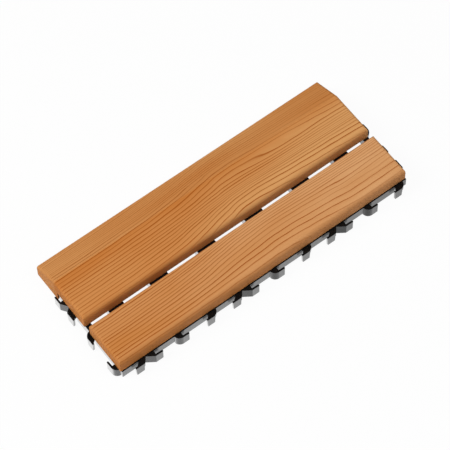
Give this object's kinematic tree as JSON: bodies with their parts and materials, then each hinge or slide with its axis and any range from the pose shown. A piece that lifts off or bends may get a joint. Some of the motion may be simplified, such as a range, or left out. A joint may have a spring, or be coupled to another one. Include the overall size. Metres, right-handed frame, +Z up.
{
  "type": "sauna floor mat",
  "caption": "Wooden sauna floor mat tile with a bevelled edge: boards screwed to a moulded plastic grid whose hooks and tabs click into neighbouring tiles.",
  "frame": {"origin": "on the floor, at the middle of the overall length and depth", "axes": "+X along the boards, +Y from the connector side to the bevelled edge, +Z up"},
  "size_m": [0.31, 0.1272, 0.027],
  "materials": {
    "wood": "oiled softwood, planed",
    "black_plastic": "moulded, satin black",
    "screw_steel": "stainless, plain"
  },
  "bodies": {
    "root": {"narrow_board": "wood", "wide_board": "wood", "base_grid": "black_plastic", "board_screws": "screw_steel"}
  },
  "joints": []
}
